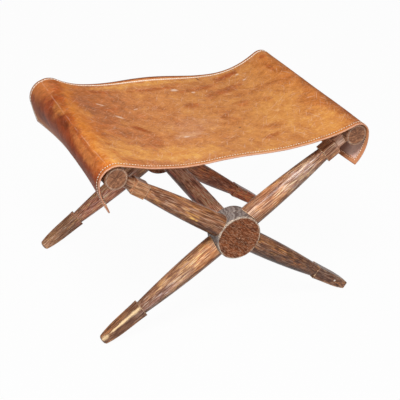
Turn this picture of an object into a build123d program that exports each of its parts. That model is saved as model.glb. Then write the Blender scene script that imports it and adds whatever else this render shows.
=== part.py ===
from build123d import *
from math import atan2, cos, degrees, hypot, radians, sin
import os

# Folding stool with a leather sling seat, in millimetres.
# Two crossed frames pivot on one long stretcher. Each frame carries one round rail,
# and the sling hangs between the two rails. +Z is up, the rails run along Y,
# and the origin is on the floor under the middle of the seat.
# Frame A holds the left rail and the right feet. Frame B holds the right rail and
# the left feet. "Arms" are the upper halves of the limbs and "legs" the lower halves.

# Driving dimensions: overall layout
rail_spacing = 550.0          # between the axes of the two rails
rail_height = 403.5           # floor to the rail axes
hub_height = 212.5            # floor to the pivot axis
hub_spacing = 411.0           # between the middle planes of the front and back hubs
limb_offset = 4.5             # a limb's axis from the middle plane of its hub

# Hubs: each is an A disc and a B disc, face to face on the pivot
hub_radius = 50.7
outer_disc_thickness = 29.5
inner_disc_thickness = 24.5
disc_gap = 0.5                # between the two discs of a hub
hub_edge_chamfer = 1.8
washer_radius = 24.0
washer_thickness = 1.9
washer_recess = 0.75          # depth in each disc
washer_clearance = 0.1

# Pivot: the stretcher's round ends
stretcher_end_radius = 19.8
stretcher_mid_radius = 20.9
spigot_radius = 13.0
spigot_depth = 16.0           # into the outer disc
running_clearance = 0.08      # between the spigots and the A discs, on the radius
spigot_shoulder_gap = 0.3
hub_screw_head_radius = 3.2
hub_screw_head_depth = 2.4
hub_screw_radius = 2.0
hub_screw_length = 34.0

# Limbs: turned, thick at the hub and slim at the collar
root_radius = 24.4
belly_radius = 22.2
belly_distance = 150.0        # from the pivot axis
limb_end_radius = 15.0
limb_end_distance = 255.5
swing_clearance = 0.6         # between a limb and the disc that turns beside it
tongue_width = 28.0
tongue_thickness = 12.0
tongue_depth = 24.0           # into the hub's rim

# Arms: square collar, round neck and round tenon in the rail
collar_side = 31.0
collar_length = 36.0
collar_corner = 1.2
collar_shoulder = 4.0
neck_radius = 12.5
rail_tenon_radius = 10.5
rail_tenon_beyond_axis = 8.0

# Legs: square foot that tapers to a blunt end, worn flat on the floor
foot_top_side = 30.6
foot_middle_side = 27.2
foot_low_side = 23.0
foot_end_side = 17.2
foot_middle_distance = 303.0
foot_low_distance = 340.0
foot_end_distance = 361.5
foot_corner = 1.6
foot_end_chamfer = 3.0

# Rails
rail_radius = 24.6
rail_overhang = 20.5          # rail end beyond the middle plane of the hub below it
rail_end_chamfer = 1.6
rail_peg_radius = 3.0
rail_peg_length = 30.0

# Leather: the sling lies on an anchor strip that is tacked to each rail
strip_thickness = 2.2
strip_clearance = 0.1
strip_margin = 41.0           # from a rail's end to the end of its strip
strip_top_angle = 80.0        # above the horizontal, on the rail's outer side
strip_bottom_angle = 85.0     # below the horizontal
tack_count = 7
tack_margin = 20.0            # from the end of a strip to its first tack
tack_angle = 60.0             # below the horizontal, on the rail's outer side
tack_head_radius = 5.0
tack_head_height = 2.6
tack_shank_radius = 1.1
tack_shank_length = 14.0
sling_thickness = 3.8
sling_clearance = 0.3
sling_front_overhang = 3.0    # the sheet's front edge beyond the rails' ends
sling_back_margin = 3.0       # its back edge short of them
edge_draw = 11.0              # how far the long edges draw in at mid-span
flap_drop = 69.0              # rail axis down to the hem
front_sag, middle_sag, back_sag = 37.0, 47.0, 38.0       # rail top to seat
left_tucks = (22.0, 38.0, 14.0)      # how far the hem curls in: front, middle, back
right_tucks = (27.0, 38.0, 20.0)

# Derived sizes
rail_x = rail_spacing / 2
rail_length = hub_spacing + 2 * rail_overhang
strip_length = rail_length - 2 * strip_margin
sling_front = -rail_length / 2 - sling_front_overhang
sling_back = rail_length / 2 - sling_back_margin
hub_y = hub_spacing / 2
rail_rise = rail_height - hub_height
lean = atan2(rail_rise, rail_x)                  # of every limb above the horizontal
rail_distance = hypot(rail_x, rail_rise)         # pivot axis to rail axis
outer_face = hub_y + disc_gap / 2 + outer_disc_thickness
inner_face = hub_y - disc_gap / 2 - inner_disc_thickness
root_reach = limb_offset + root_radius           # of a limb's root from its hub's middle plane
sling_inner = rail_radius + strip_clearance + strip_thickness + sling_clearance
sling_outer = sling_inner + sling_thickness
FRONT, BACK, LEFT, RIGHT, UP, DOWN = -1, 1, -1, 1, 1, -1

os.makedirs("parts", exist_ok=True)


def finish(part, name):
    part.label = name
    export_step(part, f"parts/{name}.step")
    print(f"{name}: {part.volume / 1000:.1f} cm3, {len(part.solids())} solid(s)")


def disc_thickness(end, frame):
    return outer_disc_thickness if end == frame else inner_disc_thickness


def disc_middle(end, frame):
    """Where the middle of a disc lies along Y."""
    return end * hub_y + frame * (disc_gap + disc_thickness(end, frame)) / 2


def limb_y(end, frame):
    """Where a limb's axis lies along Y. frame is FRONT for A limbs and BACK for B limbs."""
    return end * hub_y + frame * limb_offset


def limb_direction(side, rise):
    return Vector(side * cos(lean), 0, rise * sin(lean))


def limb_plane(side, rise, y, distance=0.0):
    """A plane square to a limb, with its local X along Y and its normal out from the hub."""
    along = limb_direction(side, rise)
    return Plane(origin=Vector(0, y, hub_height) + along * distance, x_dir=(0, 1, 0), z_dir=along)


def limb_side_plane(side, rise, y):
    """The upright plane through a limb's axis, with its local X out from the hub."""
    return Plane(origin=(0, y, hub_height), x_dir=limb_direction(side, rise), z_dir=(0, -1, 0))


def across(y, height=hub_height, x=0.0):
    """A plane facing along +Y at y, centred on the pivot axis unless told otherwise."""
    return Plane(origin=(x, y, height), x_dir=(-1, 0, 0), z_dir=(0, 1, 0))


def square_section(side, corner):
    Rectangle(side, side)
    chamfer(vertices(), length=corner)


# Limbs
def make_limb(side, rise, end, frame):
    """One arm or leg, with its root coped to its hub and a tongue for the hub's rim."""
    middle = end * hub_y
    y = limb_y(end, frame)
    disc_y = disc_middle(end, frame)
    axis = Axis((0, y, hub_height), limb_direction(side, rise))
    with BuildPart() as limb:
        with BuildSketch(limb_side_plane(side, rise, y)):
            with BuildLine():
                Polyline((limb_end_distance, limb_end_radius), (limb_end_distance, 0),
                         (0, 0), (0, root_radius))
                Line((0, root_radius), (hub_radius, root_radius))
                ThreePointArc((hub_radius, root_radius), (belly_distance, belly_radius),
                              (limb_end_distance, limb_end_radius))
            make_face()
        revolve(axis=axis)
        # The root is coped round the hub: tight to its own disc, clear of the other
        with BuildSketch(across(middle - root_reach)):
            Circle(hub_radius)
        extrude(amount=2 * root_reach, mode=Mode.SUBTRACT)
        with BuildSketch(across(middle + frame * disc_gap / 2)):
            Circle(hub_radius + swing_clearance)
        extrude(amount=-frame * root_reach, mode=Mode.SUBTRACT)
        # The tongue that is glued into the hub's rim
        with BuildSketch(limb_plane(side, rise, disc_y, hub_radius - tongue_depth)):
            Rectangle(tongue_thickness, tongue_width)
        extrude(amount=tongue_depth + root_radius / 2)
        if rise == UP:
            collar_end = limb_end_distance + collar_length
            with BuildSketch(limb_plane(side, rise, y, limb_end_distance)):
                square_section(collar_side, collar_corner)
            extrude(amount=collar_length - collar_shoulder)
            with BuildSketch(limb_plane(side, rise, y, collar_end - collar_shoulder)):
                square_section(collar_side, collar_corner)
            with BuildSketch(limb_plane(side, rise, y, collar_end)):
                square_section(collar_side - 2 * collar_shoulder, collar_corner)
            loft()
            with BuildSketch(limb_plane(side, rise, y, limb_end_distance)):
                Circle(neck_radius)
            extrude(amount=rail_distance - limb_end_distance)
            # The neck's shoulder is coped to the rail
            with BuildSketch(across(y - collar_side, rail_height, side * rail_x)):
                Circle(rail_radius)
            extrude(amount=2 * collar_side, mode=Mode.SUBTRACT)
            with BuildSketch(limb_plane(side, rise, y, limb_end_distance)):
                Circle(rail_tenon_radius)
            extrude(amount=rail_distance + rail_tenon_beyond_axis - limb_end_distance)
            with BuildSketch(Plane(origin=(side * rail_x, limb_y(end, frame),
                                           rail_height - rail_radius))):
                Circle(rail_peg_radius)
            extrude(amount=rail_peg_length, mode=Mode.SUBTRACT)
        else:
            body = ((limb_end_distance, foot_top_side), (foot_middle_distance, foot_middle_side),
                    (foot_low_distance, foot_low_side), (foot_end_distance, foot_end_side))
            blunt = (foot_end_distance + foot_end_chamfer, foot_end_side - 2 * foot_end_chamfer)
            for sections in (body, (body[-1], blunt)):
                for distance, square in sections:
                    with BuildSketch(limb_plane(side, rise, y, distance)):
                        square_section(square, foot_corner)
                loft()
            split(bisect_by=Plane.XY, keep=Keep.TOP)
    return limb.part


limbs = {
    "front_left_arm": (LEFT, UP, FRONT, FRONT),
    "back_left_arm": (LEFT, UP, BACK, FRONT),
    "front_right_leg": (RIGHT, DOWN, FRONT, FRONT),
    "back_right_leg": (RIGHT, DOWN, BACK, FRONT),
    "front_right_arm": (RIGHT, UP, FRONT, BACK),
    "back_right_arm": (RIGHT, UP, BACK, BACK),
    "front_left_leg": (LEFT, DOWN, FRONT, BACK),
    "back_left_leg": (LEFT, DOWN, BACK, BACK),
}
for name, place in limbs.items():
    finish(make_limb(*place), name)


# Hub discs
def make_disc(end, frame):
    """One half of a hub, with mortises for its two limbs and its bore on the pivot."""
    middle = end * hub_y
    start = middle + frame * disc_gap / 2
    outer = end == frame
    thickness = disc_thickness(end, frame)
    turns = frame == FRONT
    bore = spigot_radius + (running_clearance if turns else 0.0)
    arm_side = LEFT if frame == FRONT else RIGHT
    with BuildPart() as disc:
        with BuildSketch(across(start)):
            Circle(hub_radius)
        extrude(amount=frame * thickness)
        chamfer(edges().filter_by(GeomType.CIRCLE).sort_by(Axis.Y)[-1 if frame == BACK else 0],
                length=hub_edge_chamfer)
        with BuildSketch(across(start)):
            Circle(bore)
        extrude(amount=frame * (spigot_depth if outer else thickness), mode=Mode.SUBTRACT)
        with BuildSketch(across(start)):
            Circle(washer_radius + washer_clearance)
        extrude(amount=frame * washer_recess, mode=Mode.SUBTRACT)
        for side, rise in ((arm_side, UP), (-arm_side, DOWN)):
            with BuildSketch(limb_plane(side, rise, disc_middle(end, frame),
                                        hub_radius - tongue_depth)):
                Rectangle(tongue_thickness, tongue_width)
            extrude(amount=2 * tongue_depth, mode=Mode.SUBTRACT)
        if outer:
            play = running_clearance if turns else 0.0
            with BuildSketch(across(start)):
                Circle(hub_screw_radius + play)
            extrude(amount=frame * thickness, mode=Mode.SUBTRACT)
            with BuildSketch(across(end * outer_face)):
                Circle(hub_screw_head_radius + play)
            extrude(amount=-frame * hub_screw_head_depth, mode=Mode.SUBTRACT)
    return disc.part


discs = {
    "front_hub_outer_disc": (FRONT, FRONT),
    "back_hub_inner_disc": (BACK, FRONT),
    "front_hub_inner_disc": (FRONT, BACK),
    "back_hub_outer_disc": (BACK, BACK),
}
for name, place in discs.items():
    finish(make_disc(*place), name)

# Stretcher: a swelling round bar whose spigots carry all four discs
shoulder_y = inner_face
spigot_end = hub_y + disc_gap / 2 + spigot_depth
with BuildPart() as stretcher:
    with BuildSketch(Plane(origin=(0, 0, hub_height), x_dir=(0, 1, 0), z_dir=(1, 0, 0))):
        with BuildLine():
            back_shoulder = shoulder_y - spigot_shoulder_gap
            Polyline((-shoulder_y, stretcher_end_radius), (-shoulder_y, spigot_radius),
                     (-spigot_end, spigot_radius), (-spigot_end, 0), (spigot_end, 0),
                     (spigot_end, spigot_radius), (back_shoulder, spigot_radius),
                     (back_shoulder, stretcher_end_radius))
            ThreePointArc((-shoulder_y, stretcher_end_radius), (0, stretcher_mid_radius),
                          (back_shoulder, stretcher_end_radius))
        make_face()
    revolve(axis=Axis((0, 0, hub_height), (0, 1, 0)))
    screw_start = outer_face - hub_screw_length
    for end in (FRONT, BACK):
        with BuildSketch(across(end * screw_start)):
            Circle(hub_screw_radius)
        extrude(amount=end * hub_screw_length, mode=Mode.SUBTRACT)
finish(stretcher.part, "stretcher")

# Washers in the recesses between the discs of each hub
with BuildPart() as hub_washers:
    for end in (FRONT, BACK):
        with BuildSketch(across(end * hub_y - washer_thickness / 2)):
            Circle(washer_radius)
            Circle(spigot_radius + washer_clearance, mode=Mode.SUBTRACT)
        extrude(amount=washer_thickness)
finish(hub_washers.part, "hub_washers")

# Screws that keep the outer discs on the spigots
with BuildPart() as hub_screws:
    for end in (FRONT, BACK):
        with BuildSketch(across(end * outer_face)):
            Circle(hub_screw_head_radius)
        extrude(amount=-end * hub_screw_head_depth)
        with BuildSketch(across(end * outer_face)):
            Circle(hub_screw_radius)
        extrude(amount=-end * hub_screw_length)
finish(hub_screws.part, "hub_screws")


# Rails, their pegs, and the anchor strips and tacks that hold the sling
def outward(side, angle):
    """The direction at an angle above the horizontal, on a rail's outer side."""
    return Vector(side * cos(radians(angle)), 0, sin(radians(angle)))


strip_outer = rail_radius + strip_clearance + strip_thickness
tack_spacing = (strip_length - 2 * tack_margin) / (tack_count - 1)
tack_ys = [(i - (tack_count - 1) / 2) * tack_spacing for i in range(tack_count)]


def tack_plane(side, y, radius):
    out = outward(side, -tack_angle)
    return Plane(origin=Vector(side * rail_x, y, rail_height) + out * radius,
                 x_dir=(0, 1, 0), z_dir=out)


for side, hand, frame in ((LEFT, "left", FRONT), (RIGHT, "right", BACK)):
    limb_ys = [limb_y(end, frame) for end in (FRONT, BACK)]
    with BuildPart() as rail:
        with BuildSketch(across(-rail_length / 2, rail_height, side * rail_x)):
            Circle(rail_radius)
        extrude(amount=rail_length)
        chamfer(edges().filter_by(GeomType.CIRCLE), length=rail_end_chamfer)
        for y in limb_ys:
            with BuildSketch(limb_plane(side, UP, y, rail_distance + rail_tenon_beyond_axis)):
                Circle(rail_tenon_radius)
            extrude(amount=-3 * rail_radius, mode=Mode.SUBTRACT)
            with BuildSketch(Plane(origin=(side * rail_x, y, rail_height - rail_radius))):
                Circle(rail_peg_radius)
            extrude(amount=rail_peg_length, mode=Mode.SUBTRACT)
        for y in tack_ys:
            with BuildSketch(tack_plane(side, y, strip_outer)):
                Circle(tack_shank_radius)
            extrude(amount=-tack_shank_length, mode=Mode.SUBTRACT)
    finish(rail.part, f"{hand}_rail")

    with BuildPart() as rail_pegs:
        for y in limb_ys:
            with BuildSketch(Plane(origin=(side * rail_x, y, rail_height - rail_radius))):
                Circle(rail_peg_radius)
            extrude(amount=rail_peg_length)
    finish(rail_pegs.part, f"{hand}_rail_pegs")

    start_angle = -strip_bottom_angle if side == RIGHT else 180 - strip_top_angle
    sweep_angle = strip_top_angle + strip_bottom_angle
    with BuildPart() as anchor_strip:
        with BuildSketch(Plane(origin=(side * rail_x, strip_length / 2, rail_height),
                               x_dir=(1, 0, 0), z_dir=(0, -1, 0))):
            with BuildLine():
                inner_arc = CenterArc((0, 0), strip_outer - strip_thickness,
                                      start_angle, sweep_angle)
                outer_arc = CenterArc((0, 0), strip_outer, start_angle, sweep_angle)
                Line(inner_arc @ 0, outer_arc @ 0)
                Line(inner_arc @ 1, outer_arc @ 1)
            make_face()
        extrude(amount=strip_length)
        for y in tack_ys:
            with BuildSketch(tack_plane(side, y, strip_outer)):
                Circle(tack_shank_radius)
            extrude(amount=-tack_shank_length, mode=Mode.SUBTRACT)
    finish(anchor_strip.part, f"{hand}_anchor_strip")

    with BuildPart() as strip_tacks:
        for y in tack_ys:
            out = tack_plane(side, y, strip_outer)
            with BuildSketch(out):
                Circle(tack_shank_radius)
            extrude(amount=-tack_shank_length)
            with BuildSketch(out):
                Circle(tack_head_radius)
            extrude(amount=tack_head_height, taper=30)
    finish(strip_tacks.part, f"{hand}_strip_tacks")


# Sling: one leather sheet that sags between the rails and hangs down outside them
def sling_profile(sag, left_tuck, right_tuck):
    """Closed outline of the sheet in X and Z, in arcs that run into each other."""
    reach = (rail_x**2 + sag**2) / (2 * sag)          # from a rail's axis to the sag's centre
    seat_centre = (0, rail_height + reach - sag)
    meet = degrees(atan2(reach - sag, rail_x))        # angle where the seat leaves the rail
    hems = []
    for offset in (sling_outer, sling_inner):
        CenterArc(seat_centre, reach - offset, 180 + meet, 180 - 2 * meet)
        CenterArc((-rail_x, rail_height), offset, meet, 180 - meet)
        CenterArc((rail_x, rail_height), offset, 0, 180 - meet)
        for side, tuck in ((LEFT, left_tuck), (RIGHT, right_tuck)):
            bend = (flap_drop**2 + tuck**2) / (2 * tuck)        # radius of the outer face
            radius = bend - (sling_outer - offset)
            turn = degrees(atan2(flap_drop, bend - tuck))
            centre = (side * (rail_x + sling_outer - bend), rail_height)
            flap = CenterArc(centre, radius, 180 if side == LEFT else 0,
                             turn if side == LEFT else -turn)
            hems.append(flap @ 1)
    Line(hems[0], hems[2])
    Line(hems[1], hems[3])


with BuildPart() as seat_sling:
    stations = zip((sling_front, (sling_front + sling_back) / 2, sling_back),
                   (front_sag, middle_sag, back_sag), left_tucks, right_tucks)
    for y, sag, left_tuck, right_tuck in stations:
        with BuildSketch(Plane(origin=(0, y, 0), x_dir=(1, 0, 0), z_dir=(0, -1, 0))):
            with BuildLine():
                sling_profile(sag, left_tuck, right_tuck)
            make_face()
    loft()
    # The front and back edges draw in between the rails
    with BuildSketch(Plane.XY.offset(rail_height)):
        for y, inwards in ((sling_front, 1), (sling_back, -1)):
            with BuildLine():
                ThreePointArc((-rail_x, y), (0, y + inwards * edge_draw), (rail_x, y))
                Line((-rail_x, y), (rail_x, y))
            make_face()
    extrude(amount=flap_drop, both=True, mode=Mode.SUBTRACT)
finish(seat_sling.part, "seat_sling")
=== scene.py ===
# %% [markdown]
# # A folding stool with a leather sling seat
#
# Two crossed oak frames turn on one long stretcher, and a sheet of saddle leather lies over
# their two rails. The wooden frame comes ready made, as fixed pieces at their real size.
# This lesson adds the leather, its turned hem and its sewing, and gives every surface its
# finish: old stained oak, worn leather, aged brass.

# %% Load the frame
import cmath
from functools import lru_cache
from math import atan, atan2, cos, degrees, exp, pi, radians, sin

import bmesh
import bpy
from mathutils import Euler, Matrix, Quaternion, Vector, noise


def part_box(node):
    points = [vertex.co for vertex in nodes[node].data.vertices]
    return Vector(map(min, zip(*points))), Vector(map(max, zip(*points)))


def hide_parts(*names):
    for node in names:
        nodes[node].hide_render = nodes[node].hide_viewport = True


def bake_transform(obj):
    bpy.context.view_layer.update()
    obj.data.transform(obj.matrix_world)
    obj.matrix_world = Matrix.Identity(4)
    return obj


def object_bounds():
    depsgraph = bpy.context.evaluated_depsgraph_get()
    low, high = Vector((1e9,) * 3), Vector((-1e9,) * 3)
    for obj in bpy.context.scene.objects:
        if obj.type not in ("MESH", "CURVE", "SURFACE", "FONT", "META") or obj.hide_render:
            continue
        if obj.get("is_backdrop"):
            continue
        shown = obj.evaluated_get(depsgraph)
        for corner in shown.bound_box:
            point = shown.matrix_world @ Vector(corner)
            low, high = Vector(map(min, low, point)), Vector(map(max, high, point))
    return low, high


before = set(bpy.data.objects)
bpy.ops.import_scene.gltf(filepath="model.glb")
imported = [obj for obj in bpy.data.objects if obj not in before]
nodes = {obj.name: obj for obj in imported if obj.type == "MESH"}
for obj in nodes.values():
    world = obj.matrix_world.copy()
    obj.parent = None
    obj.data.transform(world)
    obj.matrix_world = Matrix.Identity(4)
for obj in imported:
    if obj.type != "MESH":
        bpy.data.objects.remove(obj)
cad_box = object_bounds()
print(f"{len(nodes)} pieces in the frame")

# %% [markdown]
# ## Sizes read from the frame
#
# The leather has to lie on the rails, so its sizes start from theirs. Each piece of the frame
# can be measured with its box, and half a box is a radius or a centre.

# %% Rails, hem and pivot
rail_low, rail_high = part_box("right_rail")
rail_x = (rail_low.x + rail_high.x) / 2
rail_z = (rail_low.z + rail_high.z) / 2
rail_radius = (rail_high.z - rail_low.z) / 2
sling_low, sling_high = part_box("seat_sling")
flap_drop = rail_z - sling_low.z
hub_low, hub_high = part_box("front_hub_outer_disc")
pivot = Vector((0, 0, (hub_low.z + hub_high.z) / 2))
limb_lean = atan2(rail_z - pivot.z, rail_x)
print(f"limbs lean {degrees(limb_lean):.1f} degrees, rails are {2 * rail_x:.3f} m apart")

# %% [markdown]
# ## Camera
#
# A long lens from over the left front corner keeps the rails nearly parallel. The camera
# leans by about two degrees, so it is aimed first and then rolled about its own axis.


# %% Aim and roll the camera
def add_object(name, data):
    """A new object in the scene, with its origin at the frame's."""
    made = bpy.data.objects.new(name, data)
    bpy.context.scene.collection.objects.link(made)
    return made


view_turn = radians(26.06)       # round to the left of straight ahead
view_height = radians(29.31)     # up from the level
view_roll = radians(2.25)
view_distance = 2.4665
view_target = Vector((0.0181, 0, 0.1787))

toward_camera = Vector((-sin(view_turn), -cos(view_turn), 0)) * cos(view_height)
toward_camera.z = sin(view_height)
camera = add_object("camera", bpy.data.cameras.new("camera"))
camera.data.sensor_width = 36
camera.data.lens = 95.7
camera.location = view_target + toward_camera * view_distance
aim = (-toward_camera).to_track_quat("-Z", "Y")
camera.rotation_mode = "QUATERNION"
camera.rotation_quaternion = aim @ Quaternion((0, 0, 1), view_roll)
bpy.context.scene.camera = camera
print(f"camera {view_distance:.2f} m away, with a lens of {camera.data.lens:.0f} mm")

# %% [markdown]
# ## Helpers for materials
#
# A material is a graph of nodes. These helpers add a node, set its inputs or link them, and
# hand back a socket, so that a material reads from top to bottom like a recipe. A colour is
# laid over what is there with a share, which is a number or another socket.


# %% Nodes and numbers
def tone(red, green, blue):
    """A colour picked on screen, from 0 to 255, as the linear values that the nodes take."""
    values = []
    for level in (red / 255, green / 255, blue / 255):
        values.append(level / 12.92 if level <= 0.04045 else ((level + 0.055) / 1.055) ** 2.4)
    return (*values, 1.0)


def add_node(tree, kind, inputs=(), **settings):
    made = tree.nodes.new(kind)
    for name, value in settings.items():
        setattr(made, name, value)
    for socket, value in dict(inputs).items():
        if isinstance(value, bpy.types.NodeSocket):
            tree.links.new(value, made.inputs[socket])
        else:
            made.inputs[socket].default_value = value
    return made


def calc(tree, operation, first, second=0.0, third=0.0, clamp=False):
    made = add_node(tree, "ShaderNodeMath", {0: first, 1: second, 2: third},
                    operation=operation, use_clamp=clamp)
    return made.outputs[0]


def vector_calc(tree, operation, first, second=(0, 0, 0)):
    made = add_node(tree, "ShaderNodeVectorMath", {0: first, 1: second}, operation=operation)
    return made.outputs["Value" if operation in ("LENGTH", "DOT_PRODUCT") else "Vector"]


def split(tree, vector):
    """The parts of a vector, which go by the names X, Y and Z."""
    return add_node(tree, "ShaderNodeSeparateXYZ", {0: vector}).outputs


def from_axis(tree, place, centre, across):
    """How far a place lies from an axis through centre. across has a 1 for each way that counts."""
    offset = vector_calc(tree, "SUBTRACT", place, centre)
    return vector_calc(tree, "LENGTH", vector_calc(tree, "MULTIPLY", offset, across))


def rescale(tree, value, low, high, new_low=0.0, new_high=1.0, smooth=False):
    """Maps low..high to new_low..new_high and holds the ends."""
    made = add_node(tree, "ShaderNodeMapRange",
                    {"Value": value, "From Min": low, "From Max": high,
                     "To Min": new_low, "To Max": new_high},
                    interpolation_type="SMOOTHSTEP" if smooth else "LINEAR")
    return made.outputs["Result"]


# %% Colours and patterns
def blend_colour(tree, share, first, second, mode="MIX"):
    made = add_node(tree, "ShaderNodeMix", {0: share, 6: first, 7: second},
                    data_type="RGBA", blend_type=mode)
    return made.outputs[2]


def lay_over(tree, base, layers):
    """Lays colours over a base, one after another. A layer is its share and its colour."""
    for share, colour in layers:
        base = blend_colour(tree, share, base, colour)
    return base


def colour_ramp(tree, share, stops):
    made = add_node(tree, "ShaderNodeValToRGB", {"Fac": share})
    ramp = made.color_ramp
    while len(ramp.elements) < len(stops):
        ramp.elements.new(0.5)
    for element, (position, colour) in zip(ramp.elements, stops):
        element.position = position
        element.color = colour
    return made.outputs["Color"]


def grain_noise(tree, vector, scale, detail=4.0, roughness=0.55, distortion=0.0):
    made = add_node(tree, "ShaderNodeTexNoise",
                    {"Vector": vector, "Scale": scale, "Detail": detail,
                     "Roughness": roughness, "Distortion": distortion})
    return made.outputs["Fac"]


def streaks(tree, vector, scales, detail=4.0, distortion=0.0):
    """Noise with its own scale along each axis, drawn out where that scale is small."""
    drawn_out = vector_calc(tree, "MULTIPLY", vector, scales)
    return grain_noise(tree, drawn_out, 1.0, detail=detail, distortion=distortion)


# %% Groups and materials
def new_group(name, inputs, outputs):
    """An empty shader node group with named sockets, and its input and output nodes."""
    group = bpy.data.node_groups.new(name, "ShaderNodeTree")
    for title, kind in inputs.items():
        group.interface.new_socket(title, in_out="INPUT", socket_type=f"NodeSocket{kind}")
    for title, kind in outputs.items():
        group.interface.new_socket(title, in_out="OUTPUT", socket_type=f"NodeSocket{kind}")
    given = group.nodes.new("NodeGroupInput").outputs
    wanted = group.nodes.new("NodeGroupOutput").inputs
    return group, given, wanted


def use_group(tree, group, inputs):
    return add_node(tree, "ShaderNodeGroup", inputs, node_tree=group).outputs


def new_material(name):
    """A material with its node tree and its own Principled shader."""
    material = bpy.data.materials.new(name)
    material.use_nodes = True
    return material, material.node_tree, material.node_tree.nodes["Principled BSDF"]


def connect(tree, socket, shader_input):
    tree.links.new(socket, shader_input)


def add_bump(tree, shader, height, distance, strength=1.0):
    bump = add_node(tree, "ShaderNodeBump",
                    {"Height": height, "Distance": distance, "Strength": strength})
    connect(tree, bump.outputs["Normal"], shader.inputs["Normal"])


# %% [markdown]
# ## Worn arrises
#
# Handling rubs the stain off every corner of an old piece of furniture. A Bevel node looks at
# the surface close by, and where its rounded normal differs from the true one there is an
# edge. The mask is broken up with noise, because wear is never even.

# %% Edge wear group
wear_group, given, wanted = new_group(
    "Worn arrises",
    {"Vector": "Vector", "Width": "Float", "Amount": "Float"},
    {"Mask": "Float"},
)
rounded = add_node(wear_group, "ShaderNodeBevel", {"Radius": given["Width"]}, samples=6)
surface = wear_group.nodes.new("ShaderNodeNewGeometry")
likeness = vector_calc(wear_group, "DOT_PRODUCT", rounded.outputs["Normal"],
                       surface.outputs["Normal"])
edge_share = rescale(wear_group, likeness, 0.985, 0.80)
patches = rescale(wear_group, grain_noise(wear_group, given["Vector"], 70.0), 0.35, 0.62)
worn = calc(wear_group, "MULTIPLY", edge_share, patches)
worn = calc(wear_group, "MULTIPLY", worn, given["Amount"], clamp=True)
connect(wear_group, worn, wanted["Mask"])
print(f"{wear_group.name}: {len(wear_group.nodes)} nodes")

# %% [markdown]
# ## Oak
#
# Oak has growth rings with open pores, so a stained piece shows dark streaks along its length
# and pointed arches where a curved surface cuts the rings. A pattern drawn in the solid gives
# both, and gives rings on the ends too. The growth bands are a one-dimensional noise, read
# outward from the heart of the tree, and the distance from the heart wanders along the piece.
# The dark pores and the golden flecks are noises drawn out about fifteen to one, and between
# the pores lie paler streaks.

# %% Oak group
pith = (0, -0.31, -0.12)         # where the heart of the tree lies, seen from the piece
ring_drift = 0.034               # how far the rings wander along the piece
ring_waver = 0.0030              # and how far they quiver

oak_group, given, wanted = new_group(
    "Stained oak",
    {"Vector": "Vector", "Ring Width": "Float", "Dark": "Color", "Brown": "Color",
     "Gold": "Color", "Gold Share": "Float", "Pale Share": "Float",
     "Pale": "Color", "End": "Color", "End Share": "Float"},
    {"Color": "Color", "Roughness": "Float", "Height": "Float"},
)
place = given["Vector"]
drift = streaks(oak_group, place, (7.0, 26.0, 26.0), detail=2.0)
waver = streaks(oak_group, place, (40.0, 120.0, 120.0), detail=2.0)
from_pith = from_axis(oak_group, place, pith, (0, 1, 1))
from_pith = calc(oak_group, "MULTIPLY_ADD", drift, ring_drift, from_pith)
from_pith = calc(oak_group, "MULTIPLY_ADD", waver, ring_waver, from_pith)
ring_count = calc(oak_group, "DIVIDE", from_pith, given["Ring Width"])
bands = add_node(oak_group, "ShaderNodeTexNoise",
                 {"W": ring_count, "Scale": 1.0, "Detail": 1.0}, noise_dimensions="1D")
band = rescale(oak_group, bands.outputs["Fac"], 0.36, 0.64)
pores = streaks(oak_group, place, (32.0, 560.0, 560.0), detail=1.5)
flecks = streaks(oak_group, place, (34.0, 480.0, 400.0), detail=1.5)
broad = streaks(oak_group, place, (9.0, 40.0, 40.0))
pore = rescale(oak_group, pores, 0.50, 0.60)
between_pores = rescale(oak_group, pores, 0.45, 0.37)
fleck = calc(oak_group, "MULTIPLY", rescale(oak_group, flecks, 0.50, 0.60),
             rescale(oak_group, broad, 0.42, 0.58))
oak_colour = lay_over(oak_group, given["Brown"], [
    (calc(oak_group, "MULTIPLY", band, 0.45), given["Dark"]),
    (rescale(oak_group, broad, 0.50, 0.34, 0.0, 0.45), given["Dark"]),
    (calc(oak_group, "MULTIPLY", fleck, given["Gold Share"], clamp=True), given["Gold"]),
    (calc(oak_group, "MULTIPLY", between_pores, given["Pale Share"], clamp=True), given["Pale"]),
    (calc(oak_group, "MULTIPLY", pore, 0.62), given["Dark"]),
])
end_dark = calc(oak_group, "MULTIPLY", calc(oak_group, "MAXIMUM", band, pore), 0.68)
end_colour = blend_colour(oak_group, end_dark, given["End"], given["Dark"])
oak_colour = blend_colour(oak_group, given["End Share"], oak_colour, end_colour)
connect(oak_group, oak_colour, wanted["Color"])
connect(oak_group, rescale(oak_group, pores, 0.35, 0.65, 0.34, 0.58), wanted["Roughness"])
relief_of_grain = calc(oak_group, "SUBTRACT", calc(oak_group, "MULTIPLY", band, -0.3), pore)
side_share = calc(oak_group, "SUBTRACT", 1.0, given["End Share"])
connect(oak_group, calc(oak_group, "MULTIPLY", relief_of_grain, side_share), wanted["Height"])
print(f"{oak_group.name}: {len(oak_group.nodes)} nodes")

# %% [markdown]
# ## Soft patches
#
# A stain, a scuff or a bruise is a soft oval with a ragged edge. The oval has a centre, a half
# size each way, and it can be turned. Its edge is pushed in and out by a noise that all the
# patches of one finish share.

# %% Patch group
edge_wander = 1.6                # how far the noise moves the edge, in half sizes

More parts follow.
